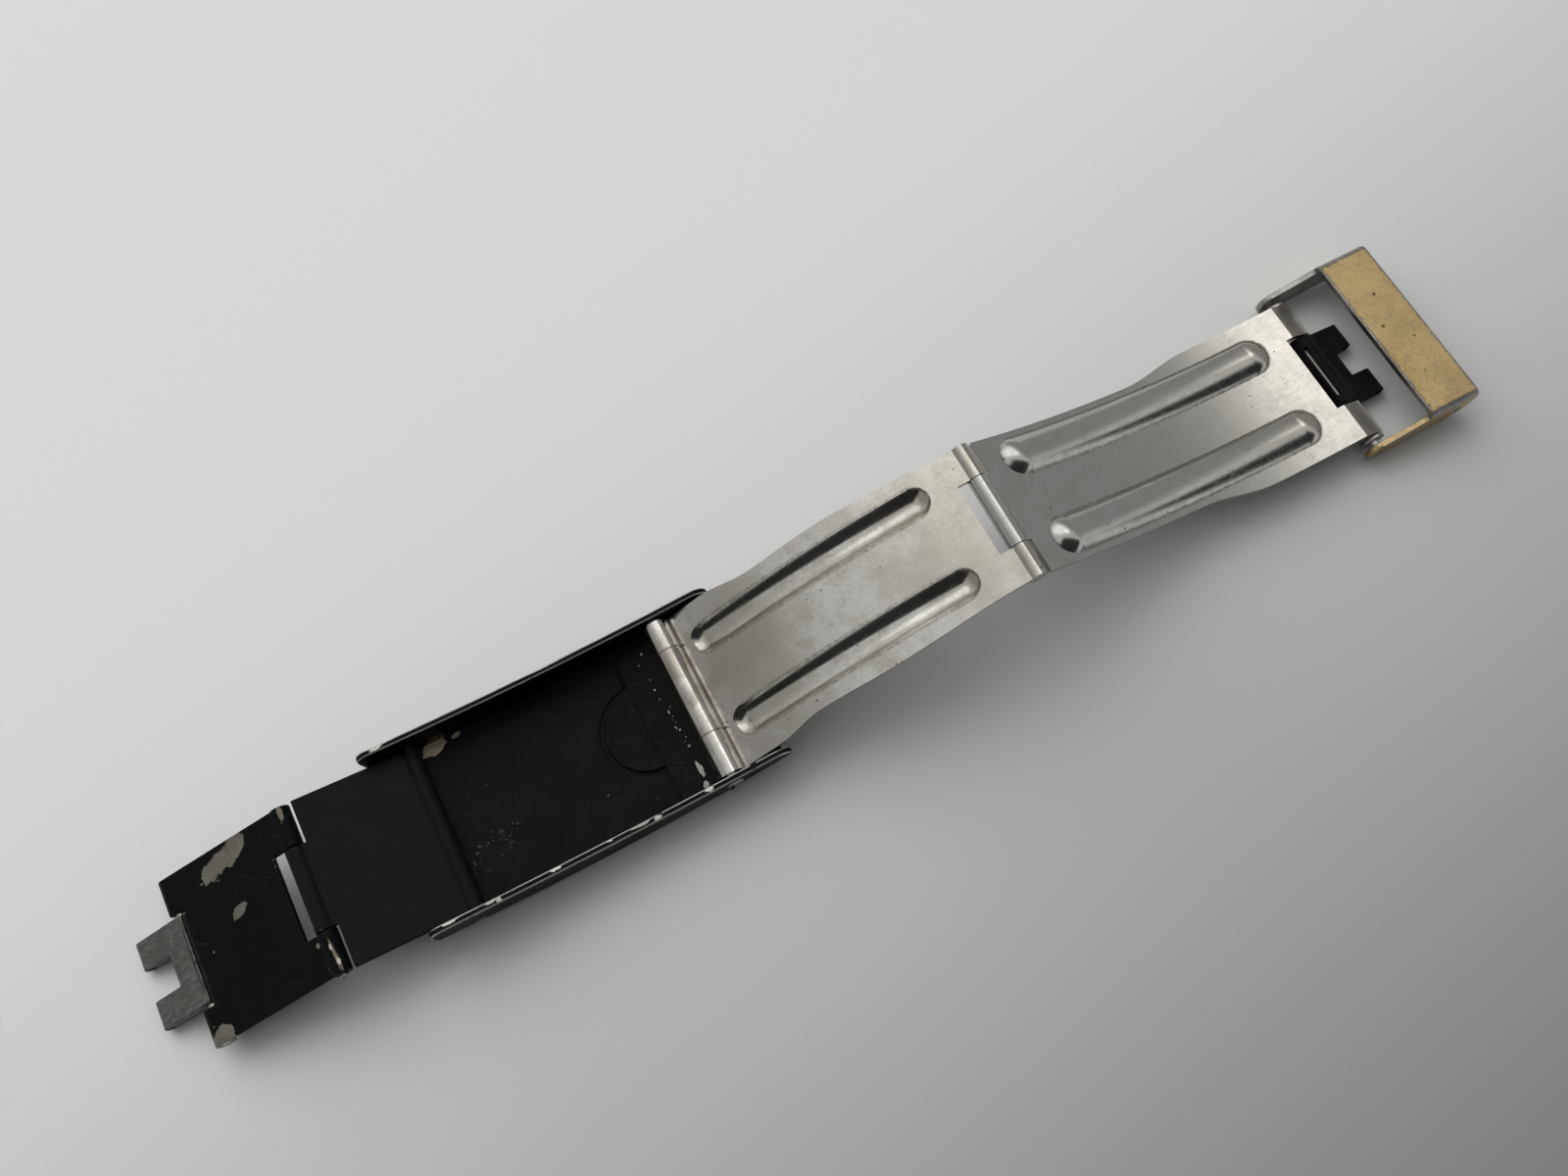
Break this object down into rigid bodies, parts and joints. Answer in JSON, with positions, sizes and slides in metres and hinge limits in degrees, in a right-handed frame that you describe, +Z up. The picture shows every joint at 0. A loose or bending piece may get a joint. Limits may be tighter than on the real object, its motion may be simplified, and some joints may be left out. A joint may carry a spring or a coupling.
{
  "type": "watch clasp",
  "caption": "Folding bracelet clasp for a wristwatch, lying open with its wrist side up: channel cover, hinged curved blades, snap-over latch on a spring bar and a fold-out extension.",
  "frame": {"origin": "centre of the bounding box at its base, on the table", "axes": "+X from the extension to the latch, +Z up to the wrist side"},
  "size_m": [0.1372, 0.0194, 0.0125],
  "materials": {
    "black_coating": "black coating, satin, rubbed through to bare metal on edges",
    "black_satin": "black coating, matte and even",
    "worn_black": "black coating, chipped to bare metal in patches",
    "blade_steel": "satin stainless steel with light tarnish",
    "bright_steel": "bright stainless steel, lightly scratched",
    "bare_steel": "brushed stainless steel",
    "pin_steel": "turned stainless steel",
    "dark_steel": "dark coated pin steel, worn at the ends",
    "spring_steel": "drawn spring wire",
    "gold_plate": "brushed gold plating with fine scratches, steel inside"
  },
  "bodies": {
    "cover": {"cover": "black_coating", "cover_hinge_pin": "pin_steel", "extension_pivot_pin": "dark_steel"},
    "middle_blade": {"middle_blade": "blade_steel", "middle_hinge_pin": "pin_steel"},
    "lower_blade": {"lower_blade": "bright_steel", "spring_bar_tube": "bare_steel", "spring_bar_spring": "spring_steel"},
    "tip_far": {"spring_bar_tip_far": "pin_steel"},
    "tip_near": {"spring_bar_tip_near": "pin_steel"},
    "inner_fork_link": {"inner_fork_link": "black_coating"},
    "latch": {"latch": "gold_plate"},
    "extension_plate": {"extension_plate": "black_satin"},
    "end_plate": {"end_plate": "worn_black", "extension_hinge_pin": "dark_steel", "outer_fork_pin": "pin_steel"},
    "outer_fork_link": {"outer_fork_link": "bare_steel"}
  },
  "joints": [
    {"name": "cover_hinge", "type": "hinge", "parent": "cover", "child": "middle_blade", "pos_m": [-0.01329, 0, 0.00302], "axis": [0, -1, 0], "range_deg": [0, 154.55]},
    {"name": "middle_hinge", "type": "hinge", "parent": "middle_blade", "child": "lower_blade", "pos_m": [0.01858, 0, 0.01156], "axis": [0, 1, 0], "range_deg": [0, 145.8]},
    {"name": "extension_pivot", "type": "hinge", "parent": "cover", "child": "extension_plate", "pos_m": [-0.03889, 0, 0.00304], "axis": [0, 1, 0], "range_deg": [0, 174.6]},
    {"name": "end_plate_hinge", "type": "hinge", "parent": "extension_plate", "child": "end_plate", "pos_m": [-0.05083, 0, 0.00557], "axis": [0, -1, 0], "range_deg": [0, 144.19]},
    {"name": "outer_fork_swing", "type": "hinge", "parent": "end_plate", "child": "outer_fork_link", "pos_m": [-0.06343, 0, 0.002], "axis": [0, -1, 0], "range_deg": [-25, 25]},
    {"name": "inner_fork_swing", "type": "hinge", "parent": "lower_blade", "child": "inner_fork_link", "pos_m": [0.05791, 0, 0.00145], "axis": [0, 1, 0], "range_deg": [-60, 60]},
    {"name": "latch_fold", "type": "hinge", "parent": "lower_blade", "child": "latch", "pos_m": [0.05791, 0, 0.00145], "axis": [0, 1, 0], "range_deg": [0, 174.72]},
    {"name": "tip_far_slide", "type": "slide", "parent": "lower_blade", "child": "tip_far", "axis": [0, -1, 0], "range_m": [0, 0.001], "stiffness_N_per_m": 300, "springref_m": -0.001, "deforming": ["spring_bar_spring"]},
    {"name": "tip_near_slide", "type": "slide", "parent": "lower_blade", "child": "tip_near", "axis": [0, 1, 0], "range_m": [0, 0.001], "stiffness_N_per_m": 300, "springref_m": -0.001, "deforming": ["spring_bar_spring"]}
  ],
  "couplings": [
    {"joint": "middle_hinge", "follows": "cover_hinge", "ratio": 0.94331},
    {"joint": "end_plate_hinge", "follows": "extension_pivot", "ratio": 0.82576}
  ]
}
